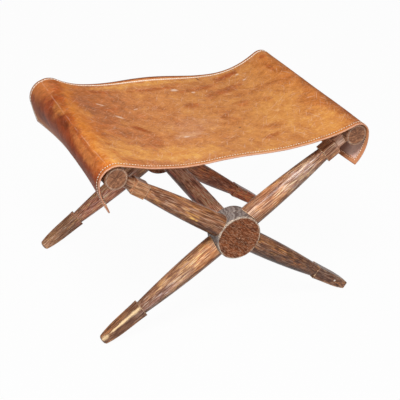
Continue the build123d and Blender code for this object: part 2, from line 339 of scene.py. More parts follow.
patch_group, given, wanted = new_group(
    "Soft patch",
    {"Vector": "Vector", "Centre": "Vector", "Turn": "Float", "Size": "Vector",
     "Ragged": "Float"},
    {"Mask": "Float"},
)
turned = add_node(patch_group, "ShaderNodeVectorRotate",
                  {"Vector": given["Vector"], "Center": given["Centre"], "Angle": given["Turn"]},
                  rotation_type="Z_AXIS").outputs["Vector"]
offset = vector_calc(patch_group, "SUBTRACT", turned, given["Centre"])
offset = vector_calc(patch_group, "DIVIDE", offset, given["Size"])
reach = calc(patch_group, "SUBTRACT", vector_calc(patch_group, "LENGTH", offset), edge_wander / 2)
reach = calc(patch_group, "MULTIPLY_ADD", given["Ragged"], edge_wander, reach)
connect(patch_group, rescale(patch_group, reach, 1.1, 0.35, smooth=True), wanted["Mask"])
print(f"{patch_group.name}: {len(patch_group.nodes)} nodes")


def add_patches(tree, vector, base, patches, raggedness, mode="MIX"):
    """Lays each patch over the colour: centre, half size, turn in degrees, colour, share."""
    ragged = grain_noise(tree, vector, raggedness, detail=3.0, roughness=0.65)
    for centre, size, turn, colour, share in patches:
        mask = use_group(tree, patch_group,
                         {"Vector": vector, "Centre": centre, "Turn": radians(-turn),
                          "Size": size, "Ragged": ragged})["Mask"]
        base = blend_colour(tree, calc(tree, "MULTIPLY", mask, share), base, colour, mode)
    return base


# %% [markdown]
# ## How the oak has aged, with painted light and shade
#
# The grain of a limb runs along the limb, the grain of a rail along the rail, and the hub's
# discs are cut with it on the slant. A Mapping node of the Texture kind turns the pattern to
# suit: what it is given is read as if the piece lay along X. The side toward the lamp gets a
# painted highlight and the sides round from it get painted shade, which the normal tells, and
# the edges are rubbed bare. Broad tints, many of them painted light and shade, are blended as
# an overlay, which makes the wood darker or paler and keeps its grain, and small marks cover it.

# %% Rubbed edges
# The painted highlight and the painted shade on the oak are measured from this way.
painted_light_way = Vector((-0.40, -0.78, 0.48))      # where the light came from


def from_hub_axis(tree, place):
    return from_axis(tree, place, pivot, (1, 0, 1))


def rubbed_edges(tree, place, width, wear, wear_from):
    """Wood nearer the middle of the stool than wear_from is hardly rubbed, and so is the rim
    of the hole that a hub's screw sits in."""
    outward = calc(tree, "ABSOLUTE", split(tree, place)["Y"])
    amount = rescale(tree, outward, wear_from, wear_from + 0.004, 0.04 * wear, wear)
    off_screw = rescale(tree, from_hub_axis(tree, place), 0.008, 0.012)
    amount = calc(tree, "MULTIPLY", amount, off_screw)
    return use_group(tree, wear_group,
                     {"Vector": place, "Width": width, "Amount": amount})["Mask"]


# %% Make an oak finish
def make_oak(name, turn, ring_width, dark, brown, gold, gold_share, wear, wear_colour,
             centre=(0, 0, 0), wear_width=0.003, wear_from=0.0, end=None, end_from=0.42,
             pale_share=0.28, coat=0.30, fineness=(1, 1, 1), painted_light_share=0.0, tints_and_painted_light=(),
             marks=()):
    """end is a colour, or a function that draws the end grain from the place on the piece. It
    shows where the grain ends squarely enough at a surface, from end_from up."""
    material, tree, shader = new_material(name)
    place = add_node(tree, "ShaderNodeTexCoord").outputs
    along_x = add_node(tree, "ShaderNodeMapping",
                       {"Vector": place["Object"], "Location": centre, "Rotation": turn,
                        "Scale": fineness},
                       vector_type="TEXTURE").outputs["Vector"]
    grain_way = Euler(turn).to_matrix() @ Vector((1, 0, 0))
    end_on = calc(tree, "ABSOLUTE", vector_calc(tree, "DOT_PRODUCT", place["Normal"], grain_way))
    end_colour = end(tree, place["Object"]) if callable(end) else end or brown
    # A painted highlight on the side toward the lamp, and painted shade on the sides round from it,
    # weaker on the far side.
    to_painted_light = vector_calc(tree, "DOT_PRODUCT", place["Normal"], painted_light_way)
    painted_highlight = rescale(tree, to_painted_light, 0.62, 0.98, 0.0, painted_light_share)
    painted_shade = calc(tree, "MULTIPLY", rescale(tree, to_painted_light, 0.50, -0.10, 0.0, painted_light_share),
                  rescale(tree, to_painted_light, -0.25, -0.60, 1.0, 0.30))
    oak = use_group(tree, oak_group,
                    {"Vector": along_x, "Ring Width": ring_width, "Dark": dark, "Brown": brown,
                     "Gold": gold, "Gold Share": gold_share,
                     # the painted highlight also lays more pale streaks
                     "Pale Share": calc(tree, "MULTIPLY_ADD", painted_highlight, 0.16, pale_share),
                     "Pale": tone(220, 190, 160), "End": end_colour,
                     "End Share": rescale(tree, end_on, end_from, end_from + 0.20)})
    # painted shade, then a cool painted highlight, laid over the grain
    colour = blend_colour(tree, painted_shade, oak["Color"], tone(104, 78, 64), mode="OVERLAY")
    colour = blend_colour(tree, painted_highlight, colour, tone(204, 217, 238), mode="OVERLAY")
    colour = add_patches(tree, along_x, colour, tints_and_painted_light, 60.0, mode="OVERLAY")
    colour = add_patches(tree, along_x, colour, marks, 60.0)
    rubbed = rubbed_edges(tree, place["Object"], wear_width, wear, wear_from)
    colour = blend_colour(tree, rubbed, colour, wear_colour)
    connect(tree, colour, shader.inputs["Base Color"])
    connect(tree, oak["Roughness"], shader.inputs["Roughness"])
    shader.inputs["Specular IOR Level"].default_value = 0.10
    shader.inputs["Coat Weight"].default_value = coat
    shader.inputs["Coat Roughness"].default_value = 0.24
    add_bump(tree, shader, oak["Height"], 0.0005, 0.4)
    return material


def refinish(endings, material):
    """Gives a material to the pieces of the frame whose names end so, in place of their own."""
    chosen = [node for node in nodes if node.endswith(endings)]
    for node in chosen:
        nodes[node].data.materials.clear()
        nodes[node].data.materials.append(material)
    print(f"{material.name} on {len(chosen)} pieces")


# %% Oak colours
oak_dark = tone(62, 30, 19)
worn_oak = tone(224, 188, 150)
bare_oak = tone(250, 216, 168)
bright_dent = tone(252, 196, 108)

# %% [markdown]
# ## The limbs
#
# The two frames were cut from different boards, one paler and more golden than the other, so
# each has its own finish. A limb's tints and marks are placed from the pivot: along the limb,
# with the right side of the stool above zero, then along the stretcher, then across the limb.
# So one list serves the four limbs of a frame. Many tints are painted light and shade: painted
# shade on the undersides, painted light where the seat's shadow falls, and painted highlights.
# The front left foot has lost one edge, which is a row of bare spots.

# %% Tints and marks of the limbs
arm_low, arm_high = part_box("front_left_arm")
leg_low, leg_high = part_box("front_left_leg")
front_a = (arm_low.y + arm_high.y) / 2         # the front limbs of frame A
front_b = (leg_low.y + leg_high.y) / 2
right_through = 0.06                           # half a size that takes in a whole limb
# painted shade along the underside of every limb
painted_underside_shade = ((0.0, 0.0, -0.022), (0.46, 0.70, 0.023), 0, tone(98, 74, 62), 0.70)
tints_and_painted_light_a = [
    painted_underside_shade,
    # the right legs, front and back, and the back one's foot, with painted light on the back leg
    # and its foot
    ((0.190, front_a, -0.004), (0.220, right_through, 0.030), 0, tone(104, 100, 108), 0.75),
    ((0.190, -front_a, 0.0), (0.220, right_through, 0.05), 0, tone(236, 196, 178), 0.90),
    ((0.300, -front_a, 0.0), (0.070, right_through, 0.05), 0, tone(236, 212, 204), 0.80),
    # the collars of the left arms, front and back
    ((-0.268, front_a, 0.0), (0.036, right_through, 0.05), 0, tone(226, 216, 198), 0.70),
    ((-0.285, -front_a, 0.0), (0.050, right_through, 0.05), 0, tone(124, 106, 96), 0.50),
]
marks_a = [
    # the front left arm's collar, and two dents nearer the hub
    ((-0.268, front_a, 0.002), (0.034, right_through, 0.030), 0, tone(180, 136, 96), 0.25),
    ((-0.133, front_a - 0.0185, -0.0048), (0.0095, 0.010, 0.0028), 0, bright_dent, 0.95),
    ((-0.120, front_a - 0.0190, -0.0056), (0.0040, 0.010, 0.0020), 0, bright_dent, 0.80),
    # a chip low on the front right leg
    ((0.320, front_a - 0.0125, 0.0013), (0.0036, 0.008, 0.0028), 0, tone(246, 238, 228), 0.95),
]
tints_and_painted_light_b = [
    painted_underside_shade,
    # the back left leg, with painted light on it
    ((-0.175, -front_b, 0.0), (0.100, right_through, 0.06), 0, tone(250, 228, 240), 0.85),
    # the front left leg: painted shade on its lower side, its foot, painted light on its root and a
    # painted highlight along its front
    ((-0.215, front_b, -0.004), (0.095, right_through, 0.020), 0, tone(156, 166, 186), 0.75),
    ((-0.315, front_b, 0.0), (0.075, right_through, 0.05), 0, tone(112, 98, 90), 0.50),
    ((-0.072, front_b, 0.006), (0.062, right_through, 0.026), 0, tone(242, 224, 186), 0.85),
    ((-0.215, front_b - 0.022, 0.003), (0.090, 0.016, 0.009), 0, tone(232, 236, 246), 0.85),
    # below the collars of both right arms, then painted light on the front one's collar and root,
    # and a painted highlight on its middle
    ((0.255, 0.0, 0.0), (0.028, 0.60, 0.05), 0, tone(140, 112, 98), 0.50),
    ((0.304, front_b, 0.0), (0.026, right_through, 0.06), 0, tone(244, 242, 246), 0.90),
    ((0.100, front_b, 0.008), (0.080, right_through, 0.024), 0, tone(234, 223, 204), 0.75),
    ((0.190, front_b, 0.004), (0.070, right_through, 0.030), 0, tone(188, 206, 234), 0.80),
]
marks_b = [
    # the front right arm's collar
    ((0.304, front_b, 0.006), (0.024, right_through, 0.018), 0, tone(206, 176, 160), 0.50),
    # the arris that the front left foot has lost
    ((-0.318, front_b - 0.0128, 0.0128), (0.075, 0.0040, 0.0040), 0, bare_oak, 1.0),
    ((-0.272, front_b - 0.0148, 0.0148), (0.026, 0.0075, 0.0075), 0, bare_oak, 0.95),
    ((-0.356, front_b - 0.0095, 0.0095), (0.014, 0.0075, 0.0075), 0, bare_oak, 0.85),
]

# %% Finish the limbs
limb_oak_a = make_oak(
    "limb_oak_a", turn=(0, limb_lean, 0), centre=pivot, ring_width=0.0060,
    dark=oak_dark, brown=tone(168, 111, 77), gold=tone(222, 154, 80), gold_share=0.62,
    wear=1.7, wear_colour=worn_oak, painted_light_share=0.6, tints_and_painted_light=tints_and_painted_light_a, marks=marks_a)
limb_oak_b = make_oak(
    "limb_oak_b", turn=(0, -limb_lean, 0), centre=pivot, ring_width=0.0060,
    dark=tone(76, 38, 22), brown=tone(175, 121, 88), gold=tone(228, 170, 108), gold_share=0.82,
    pale_share=0.30, wear=1.7, wear_colour=worn_oak, painted_light_share=0.6, tints_and_painted_light=tints_and_painted_light_b,
    marks=marks_b)
refinish(("front_left_arm", "back_left_arm", "front_right_leg", "back_right_leg"), limb_oak_a)
refinish(("front_right_arm", "back_right_arm", "front_left_leg", "back_left_leg"), limb_oak_b)

# %% [markdown]
# ## The rails
#
# Most of a rail is under the leather, and its front end is what shows. A turner leaves a ring
# near the rim, and as a log dries it cracks outward from its heart. The ring is read from the
# distance to the rail's axis. The cracks are noise read from the direction alone, which makes
# spokes of it.


# %% Finish the rails
def rail_end(tree, place):
    sides = split(tree, place)
    out = calc(tree, "SUBTRACT", calc(tree, "ABSOLUTE", sides["X"]), rail_x)
    up = calc(tree, "SUBTRACT", sides["Z"], rail_z)
    spoke = add_node(tree, "ShaderNodeCombineXYZ", {0: out, 1: up}).outputs["Vector"]
    reach = calc(tree, "DIVIDE", vector_calc(tree, "LENGTH", spoke), rail_radius)
    spokes = grain_noise(tree, vector_calc(tree, "NORMALIZE", spoke), 2.6, detail=3.0)
    cracks = calc(tree, "MULTIPLY", rescale(tree, spokes, 0.50, 0.62),
                  rescale(tree, reach, 0.95, 0.30, 0.20, 0.85))
    mottling = grain_noise(tree, place, 210.0, detail=3.0, roughness=0.7)
    face = colour_ramp(tree, mottling, [(0.30, tone(122, 72, 46)), (0.70, tone(206, 146, 106))])
    from_ring = calc(tree, "ABSOLUTE", calc(tree, "SUBTRACT", reach, 0.86))
    return lay_over(tree, face, [
        (cracks, tone(84, 50, 36)),
        (rescale(tree, from_ring, 0.07, 0.02, 0.0, 0.55), tone(222, 194, 170)),
    ])


rail_oak = make_oak(
    "rail_oak", turn=(0, 0, pi / 2), ring_width=0.0040, dark=tone(92, 56, 38),
    brown=tone(156, 106, 74), gold=tone(190, 132, 88), gold_share=0.6, wear=1.0,
    wear_colour=tone(206, 180, 158), wear_width=0.004, end=rail_end)
peg_oak = make_oak(
    "peg_oak", turn=(0, pi / 2, 0), ring_width=0.004, dark=tone(96, 64, 44),
    brown=tone(162, 116, 82), gold=tone(190, 138, 92), gold_share=0.5, wear=0.3,
    wear_colour=worn_oak)
refinish("_rail", rail_oak)
refinish("_pegs", peg_oak)

# %% [markdown]
# ## The stretcher and the hubs
#
# The stretcher has a painted highlight along its top and painted light near its front end, and
# painted shade down its left side. The streaks on a hub's face are short and run on the slant.
# Round its rim the grain shows its end, and end grain goes grey. The outer edge of the hub is
# rubbed wide and pale.

# %% Finish the stretcher and the hubs
stretcher_painted_light = [
    # painted shade down the left side, a painted highlight along the top, painted light near the
    # front end
    ((0.0, 0.019, pivot.z - 0.003), (0.60, 0.013, 0.015), 0, tone(96, 76, 68), 0.80),
    ((0.0, -0.002, pivot.z + 0.018), (0.60, 0.020, 0.016), 0, tone(226, 234, 246), 0.95),
    ((-0.11, 0.004, pivot.z + 0.012), (0.15, 0.022, 0.022), 0, tone(252, 240, 230), 0.90),
]
stretcher_oak = make_oak(
    "stretcher_oak", turn=(0, 0, pi / 2), ring_width=0.0070, dark=tone(58, 34, 25),
    brown=tone(216, 152, 122), gold=tone(222, 160, 112), gold_share=0.5, pale_share=0.45,
    wear=0.4, wear_colour=worn_oak, coat=0.05, tints_and_painted_light=stretcher_painted_light)
face_slant = radians(38)
disc_middle = -(hub_low.y + hub_high.y) / 2    # of an outer disc, out from the stool's middle
hub_oak = make_oak(
    "hub_oak", turn=(0, face_slant, 0), centre=pivot, ring_width=0.0065,
    fineness=(0.22, 0.56, 0.56), dark=tone(54, 22, 11), brown=tone(148, 82, 46),
    gold=tone(176, 108, 66), gold_share=0.3, pale_share=0.30, end=tone(164, 154, 148),
    end_from=0.0, wear=3.6, wear_colour=tone(248, 226, 200), wear_width=0.0055,
    wear_from=disc_middle, coat=0.05)
refinish("stretcher", stretcher_oak)
refinish("_disc", hub_oak)

# %% [markdown]
# ## Brass and the anchor strips
#
# The tacks, washers and screws are brass that has gone brown in its hollows. A screw's head
# shows as one clean spot, because all but its middle is under old wax. The strips that the
# sling is fixed to are plain dark leather, and hardly show.


# %% Brass
def make_brass(name, hollow, face, bright, clean_to=1.0):
    """Past clean_to, measured out from the hub's axis, the brass is brown with old wax."""
    material, tree, shader = new_material(name)
    place = add_node(tree, "ShaderNodeTexCoord").outputs["Object"]
    tarnish = grain_noise(tree, place, 240.0)
    brass = colour_ramp(tree, tarnish, [(0.3, hollow), (0.7, face)])
    rubbed = use_group(tree, wear_group,
                       {"Vector": place, "Width": 0.001, "Amount": 0.9})["Mask"]
    waxed = rescale(tree, from_hub_axis(tree, place), clean_to, clean_to + 0.0006, 0.0, 0.92)
    brass = lay_over(tree, brass, [(rubbed, bright), (waxed, tone(84, 50, 34))])
    connect(tree, brass, shader.inputs["Base Color"])
    connect(tree, rescale(tree, tarnish, 0.3, 0.7, 0.32, 0.55), shader.inputs["Roughness"])
    shader.inputs["Metallic"].default_value = 1.0
    add_bump(tree, shader, tarnish, 0.0001, 0.5)
    return material


brass = make_brass("aged_brass", hollow=tone(92, 66, 34), face=tone(158, 122, 66),
                   bright=tone(214, 178, 108))
screw_brass = make_brass("screw_brass", hollow=tone(150, 96, 70), face=tone(216, 164, 128),
                         bright=tone(250, 220, 190), clean_to=0.0018)
refinish(("_tacks", "_washers"), brass)
refinish("_screws", screw_brass)

# %% Strip leather
strip_leather, tree, shader = new_material("strip_leather")
place = add_node(tree, "ShaderNodeTexCoord").outputs["Object"]
pebbles = add_node(tree, "ShaderNodeTexVoronoi", {"Vector": place, "Scale": 900.0})
blotches = grain_noise(tree, place, 45.0)
connect(tree, colour_ramp(tree, blotches, [(0.3, tone(74, 44, 28)), (0.7, tone(122, 76, 48))]),
        shader.inputs["Base Color"])
connect(tree, rescale(tree, blotches, 0.3, 0.7, 0.5, 0.7), shader.inputs["Roughness"])
add_bump(tree, shader, pebbles.outputs["Distance"], 0.0003, 0.5)
refinish("_anchor_strip", strip_leather)

# %% [markdown]
# ## The path of the sling
#
# The sheet hangs on the outside of the left rail, rolls over it, dips to the seat, and rolls
# over the right rail to its other flap. Seen from the front that is five pieces of curve. All
# but the seat are arcs, and an arc is simple to say as where it starts, which way it heads,
# how long it is and how far it turns. The seat falls away quickly from each rail and is flat
# in the middle, which a power of the distance from the middle gives. Complex numbers stand
# for places in this plane, with X as the real part and Z as the other. The rolls, the seat
# and the flaps change along the rails, so each of their values is given at the front edge, at
# the middle and at the back edge of the sheet.

# %% How the leather lies
leather = 0.0017                            # thickness of one layer
fold_radius = 0.0018                        # of the turned edge, outside
hem_width = 0.0092
roll_left = (0.0374, 0.0328, 0.0420)        # radius over the left rail
roll_right = (0.0294, 0.0292, 0.0292)
loose_out = (0.0040, 0.0041, -0.0050)       # the left roll's centre, out from the rail's
loose_up = (-0.0009, 0.0020, -0.0080)
seat_sag = (0.0358, 0.0440, 0.0378)
seat_flatness = (2.9, 2.7, 4.3)             # the power of the seat's curve
seat_tilt = (0.0018, -0.0040, -0.0118)      # above zero, the left half hangs lower
flap_leave_left = (9.0, 17.0, 11.0)         # degrees past the rail's side
flap_leave_right = (-6.0, 4.0, 6.0)
flap_tuck_left = (0.0225, 0.0370, 0.0150)   # how far the hem curls in under the rail
flap_tuck_right = (0.0265, 0.0360, 0.0180)
front_draw = 0.0094                         # how far the long edges draw in
back_draw = 0.0070
back_draw_skew = 0.82                       # the back edge draws in more on its right
front_swell = (-0.02, 0.32, 0.0040)         # middle, width and height of a rise in the edge
back_swell = (-0.16, 0.69, 0.0075)
swell_reach = 0.09                          # over which it dies away from the edge
edge_curl = 0.0055                          # how far the back edge turns up at its rim
edge_curl_width = 0.014
hug_depth = 0.0048                          # how far the front edge closes in on the left rail
hug_width = 0.016


# %% Curves in the plane of the path
def between(values, t):
    """A smooth curve through a value at the front, at the middle and at the back."""
    front, middle, back = values
    return (front * (1 - t) * (1 - 2 * t) + middle * 4 * t * (1 - t) + back * t * (2 * t - 1))


def sinc(angle):
    return 1.0 if abs(angle) < 1e-6 else sin(angle) / angle


def arc_point(start, heading, length, turn, share):
    half = turn * share / 2
    return start + length * share * sinc(half) * cmath.exp(1j * (heading + half))


# %% One side of the sling
class Side:
    """The roll over one rail and the flap below it, drawn for the right-hand rail."""

    def __init__(self, radius, centre, fall, leave, tuck):
        top_angle = pi / 2 + atan(fall)          # where the seat leaves the roll
        self.seat_end = centre + radius * cmath.exp(1j * top_angle)
        self.roll_heading = top_angle - pi / 2
        self.roll_turn = -(top_angle + leave)
        self.roll_length = -radius * self.roll_turn
        self.flap_start = centre + radius * cmath.exp(-1j * leave)
        self.flap_heading = -leave - pi / 2
        hem = complex(centre.real + radius - tuck, rail_z - flap_drop)
        chord = hem - self.flap_start
        swing = cmath.phase(chord * cmath.exp(-1j * self.flap_heading))
        self.flap_turn = 2 * swing
        self.flap_length = abs(chord) / sinc(swing)

    def roll(self, share):
        return arc_point(self.seat_end, self.roll_heading, self.roll_length,
                         self.roll_turn, share)

    def flap(self, share):
        return arc_point(self.flap_start, self.flap_heading, self.flap_length,
                         self.flap_turn, share)


def mirrored(place):
    return complex(-place.real, place.imag)


@lru_cache(maxsize=None)
def settled_sides(t):
    """Both sides at t, with the rolls ending at the slope at which the seat leaves them."""
    sag, power, tilt = between(seat_sag, t), between(seat_flatness, t), between(seat_tilt, t)
    fall_left = (power * sag + 2 * tilt) / rail_x
    fall_right = (power * sag - 2 * tilt) / rail_x
    rail = complex(rail_x, rail_z)
    loose = rail + complex(between(loose_out, t), between(loose_up, t))
    for _ in range(4):
        left = Side(between(roll_left, t), loose, fall_left,
                    radians(between(flap_leave_left, t)), between(flap_tuck_left, t))
        right = Side(between(roll_right, t), rail, fall_right,
                     radians(between(flap_leave_right, t)), between(flap_tuck_right, t))
        half_span = (right.seat_end.real + left.seat_end.real) / 2
        climb = (right.seat_end.imag - left.seat_end.imag) / (2 * half_span)
        fall_left = (power * sag + 2 * tilt) / half_span - climb
        fall_right = (power * sag - 2 * tilt) / half_span + climb
    return left, right


# %% The seat, and how long each stretch is
def seat_place(t, share):
    """The seat between its two ends, from left to right."""
    left, right = settled_sides(t)
    start, end = mirrored(left.seat_end), right.seat_end
    u = 2 * share - 1
    sag = between(seat_sag, t) * (1 - abs(u) ** between(seat_flatness, t))
    lift = between(seat_tilt, t) * u * (1 - u * u) - sag
    return start + (end - start) * share + 1j * lift


def curve_length(place, steps=60):
    marks = [place(i / steps) for i in range(steps + 1)]
    return sum(abs(b - a) for a, b in zip(marks, marks[1:]))


middle_left, middle_right = settled_sides(0.5)
stretch_lengths = [
    middle_left.flap_length,
    middle_left.roll_length,
    curve_length(lambda share: seat_place(0.5, share)),
    middle_right.roll_length,
    middle_right.flap_length,
]
sheet_length = sum(stretch_lengths)
sheet_width = sling_high.y - sling_low.y
print(f"finished sheet {sheet_length * 1000:.0f} x {sheet_width * 1000:.0f} mm")


# %% The whole path
def path_place(along, t):
    """Where the path is after a distance along from the left hem, and how far over the seat."""
    left, right = settled_sides(t)
    stretches = (
        lambda share: (mirrored(left.flap(1 - share)), -1.0),
        lambda share: (mirrored(left.roll(1 - share)), -1.0),
        lambda share: (seat_place(t, share), 2 * share - 1),
        lambda share: (right.roll(share), 1.0),
        lambda share: (right.flap(share), 1.0),
    )
    for length, stretch in zip(stretch_lengths, stretches):
        if along <= length or stretch is stretches[-1]:
            return stretch(along / length)
        along -= length


# %% [markdown]
# ## The surface of the leather
#
# A place on the flat sheet is told by how far it lies along from the left hem and across from
# the front edge. Between the rails the long edges draw in, because the seat sags between
# them. On top of the smooth form come the small waves that thick leather keeps from years of
# use, and the pressed crease that runs from front to back on the outside of the left roll.


# %% The smooth form
def swell_shape(form, u):
    middle, width, _ = form
    return (1 - u * u) ** 2 * exp(-((u - middle) / width) ** 2)


def swell_rise(form, u, from_edge):
    """A long low rise in the edge of the seat, which dies away from the edge."""
    return form[2] * swell_shape(form, u) * exp(-(from_edge / swell_reach) ** 2)


def hug(along, across):
    """How far in toward the rail the leather bends at the front edge of the left roll."""
    over_roll = (along - stretch_lengths[0]) / stretch_lengths[1]
    share = (over_roll + 0.5) / 2             # the bend starts and ends half a roll further on
    if not 0 < share < 1:
        return 0.0
    return hug_depth * sin(pi * share) ** 2 * exp(-(across / hug_width) ** 2)


def smooth_place(along, across):
    t = across / sheet_width
    place, u = path_place(along, t)
    rail_centre = complex(-rail_x, rail_z)
    inward = rail_centre - place
    place += inward / abs(inward) * hug(along, across)
    pull = (1 - u * u) ** 2
    front = sling_low.y + front_draw * pull
    back = sling_high.y - back_draw * pull * (1 + back_draw_skew * u)
    rise = swell_rise(front_swell, u, across) + swell_rise(back_swell, u, sheet_width - across)
    curl = max(1 - (sheet_width - across) / edge_curl_width, 0) ** 2 * edge_curl
    rise += curl * swell_shape(back_swell, u)
    return Vector((place.real, front + (back - front) * t, place.imag + rise))


# %% Normals, waves and the crease
wave_height = 0.0011
crease_along = 0.118             # from the left hem
crease_depth = 0.0006
crease_half_width = 0.004
probe = 0.0005                   # how far off the next point lies, when a slope is measured


@lru_cache(maxsize=None)
def smooth_normal(along, across):
    a0, a1 = max(along - probe, 0), min(along + probe, sheet_length)
    b0, b1 = max(across - probe, 0), min(across + probe, sheet_width)
    down_path = smooth_place(a1, across) - smooth_place(a0, across)
    to_back = smooth_place(along, b1) - smooth_place(along, b0)
    return down_path.cross(to_back).normalized()


def relief(along, across):
    """Small waves, and the crease on the left roll."""
    wave = noise.noise(Vector((along * 9, across * 7, 0.3)))
    wave += 0.45 * noise.noise(Vector((along * 26, across * 17, 4.1)))
    wander = 0.002 * noise.noise(Vector((across * 9, 2.7, 0)))
    away = (along - crease_along + wander) / crease_half_width
    return wave_height * wave - crease_depth / (1 + away ** 4)


def sheet_place(along, across, depth=0.0):
    """A point on the sheet's outer face, or depth below it."""
    normal = smooth_normal(along, across)
    return smooth_place(along, across) + normal * (relief(along, across) - depth)


# %% [markdown]
# ## The sheet and its turned hem
#
# The leather is skived, folded under all round and sewn, so its edge is two layers thick and
# round. The sheet starts as a flat grid whose vertices are moved to their places. Its outer
# edge is then extruded again and again: half a turn round the fold, and back under the sheet
# as far as the hem is wide. A Solidify modifier gives the leather its thickness, with the
# rough flesh side on its inner face and the cut edge on its rim.

# %% A flat grid, bent to the form
columns, rows = 260, 150

sheet = bmesh.new()
bmesh.ops.create_grid(sheet, x_segments=columns, y_segments=rows, size=0.5)
flat_places = {}
for vertex in sheet.verts:
    along = (vertex.co.x + 0.5) * sheet_length
    across = (vertex.co.y + 0.5) * sheet_width
    flat_places[vertex] = (along, across)
    vertex.co = smooth_place(along, across)
sheet.normal_update()
for vertex in sheet.verts:
    vertex.co += vertex.normal * relief(*flat_places[vertex])
print(f"{len(sheet.verts)} vertices on the outer face")

# %% Where the hem goes
fold_steps = 6
hem_steps = 3
hair = 1e-6                      # nearer than this to the sheet's end is on it


@lru_cache(maxsize=None)
def outward(along, across):
    """The way out of the sheet at its edge, in the sheet's own plane. A corner has both ways."""
    way = Vector((0, 0, 0))
    if along < hair:
        way += (smooth_place(0, across) - smooth_place(probe, across)).normalized()
    if along > sheet_length - hair:
        way += (smooth_place(along, across) - smooth_place(along - probe, across)).normalized()
    if across < hair:
        way += (smooth_place(along, 0) - smooth_place(along, probe)).normalized()
    if across > sheet_width - hair:
        way += (smooth_place(along, across) - smooth_place(along, across - probe)).normalized()
    return way


def beyond(place, limit, distance):
    """One measure of a place on the flat sheet, moved on if it is at the sheet's end."""
    if place < hair:
        return -distance
    return limit + distance if place > limit - hair else place


def hem_place(along, across, ring):
    """Where an edge vertex lies on a ring of the hem, and its place on the sheet before it
    was turned in, when the hem still lay outside the edge."""
    if ring <= fold_steps:
        angle = pi * ring / fold_steps
        distance = angle * fold_radius
        normal = smooth_normal(along, across)
        way_round = outward(along, across) * sin(angle) + normal * cos(angle)
        place = sheet_place(along, across, fold_radius) + way_round * fold_radius
        return place, (beyond(along, sheet_length, distance),
                       beyond(across, sheet_width, distance))
    inset = hem_width * (ring - fold_steps) / hem_steps
    inner_along = min(max(along, inset), sheet_length - inset)
    inner_across = min(max(across, inset), sheet_width - inset)
    place = sheet_place(inner_along, inner_across, 2 * fold_radius)
    distance = pi * fold_radius + inset
    return place, (
        beyond(along, sheet_length, distance) if along in (0, sheet_length) else inner_along,
        beyond(across, sheet_width, distance) if across in (0, sheet_width) else inner_across,
    )


# %% Extrude the hem, ring by ring
weld_distance = 0.00002

edge_loop = [edge for edge in sheet.edges if edge.is_boundary]
flat_now = dict(flat_places)
edge_start = {vertex: flat_places[vertex] for edge in edge_loop for vertex in edge.verts}
for ring in range(1, fold_steps + hem_steps + 1):
    by_place = {tuple(vertex.co): start for vertex, start in edge_start.items()}
    made = bmesh.ops.extrude_edge_only(sheet, edges=edge_loop)["geom"]
    new_vertices = [item for item in made if isinstance(item, bmesh.types.BMVert)]
    edge_loop = [item for item in made if isinstance(item, bmesh.types.BMEdge)]
    edge_start = {}
    for vertex in new_vertices:
        start = by_place[tuple(vertex.co)]
        edge_start[vertex] = start
        vertex.co, flat_now[vertex] = hem_place(*start, ring)

uv = sheet.loops.layers.uv.new("flat")
for face in sheet.faces:
    face.smooth = True
    for loop in face.loops:
        loop[uv].uv = flat_now[loop.vert]
bmesh.ops.remove_doubles(sheet, verts=sheet.verts, dist=weld_distance)


# %% Give it thickness
def finish_mesh(name, shape):
    """Turns a bmesh into an object of the scene, and lets the bmesh go."""
    mesh = bpy.data.meshes.new(name)
    shape.to_mesh(mesh)
    shape.free()
    return add_object(name, mesh)


sling = finish_mesh("sling", sheet)
thicken = sling.modifiers.new("thickness", "SOLIDIFY")
thicken.thickness = leather
thicken.offset = -1.0
thicken.material_offset = 1
thicken.material_offset_rim = 2
print(f"sling has {len(sling.data.polygons)} faces")

# %% [markdown]
# ## Sewing
#
# One row of saddle stitches holds the hem down all round. Each stitch is a short fat thread
# that sinks a little into the leather, so a stretched ball with few faces is enough. There is
# a row on the outer face and a row under the hem, half a stitch out of step.

# %% Stitches
stitch_inset = 0.0072                              # in from the sheet's edge
stitch_pitch = 0.0060
stitch_size = Vector((0.0040, 0.0017, 0.0019))     # long, wide, high
stitch_lift = 0.0002                               # of its middle, off the leather's face
aim_ahead = 0.001                                  # to the point that a stitch is aimed at

ball = bmesh.new()
bmesh.ops.create_uvsphere(ball, u_segments=6, v_segments=5, radius=0.5,
                          matrix=Matrix.Rotation(pi / 2, 4, "Y"))
ball_points = [vertex.co * stitch_size for vertex in ball.verts]
ball_faces = [[vertex.index for vertex in face.verts] for face in ball.faces]
ball.free()


def seam_walk(first_share):
    """Places along the seam on the flat sheet, with the way that the seam runs there."""
    low_a, high_a = stitch_inset, sheet_length - stitch_inset
    low_b, high_b = stitch_inset, sheet_width - stitch_inset
    corners = [(low_a, low_b), (high_a, low_b), (high_a, high_b), (low_a, high_b)]
    for (a0, b0), (a1, b1) in zip(corners, corners[1:] + corners[:1]):
        run = abs(a1 - a0) + abs(b1 - b0)
        count = round(run / stitch_pitch)
        for i in range(count):
            share = (i + first_share) / count
            yield (a0 + (a1 - a0) * share, b0 + (b1 - b0) * share,
                   ((a1 - a0) / run, (b1 - b0) / run))


def sew(name, depth, first_share, side):
    """Stitches at a depth below the outer face. side is 1 on the outer face and -1 under it."""
    thread = bmesh.new()
    count = 0
    for along, across, (way_a, way_b) in seam_walk(first_share):
        place = sheet_place(along, across, depth)
        ahead = sheet_place(along + way_a * aim_ahead, across + way_b * aim_ahead, depth)
        length_way = (ahead - place).normalized()
        normal = smooth_normal(along, across)
        width_way = normal.cross(length_way).normalized()
        turn = Matrix((length_way, width_way, normal)).transposed()
        spot = place + normal * side * stitch_lift
        corners = [thread.verts.new(spot + turn @ point) for point in ball_points]
        for face in ball_faces:
            thread.faces.new([corners[i] for i in face])
        count += 1
    for face in thread.faces:
        face.smooth = True
    print(f"{name}: {count} stitches")
    return finish_mesh(name, thread)


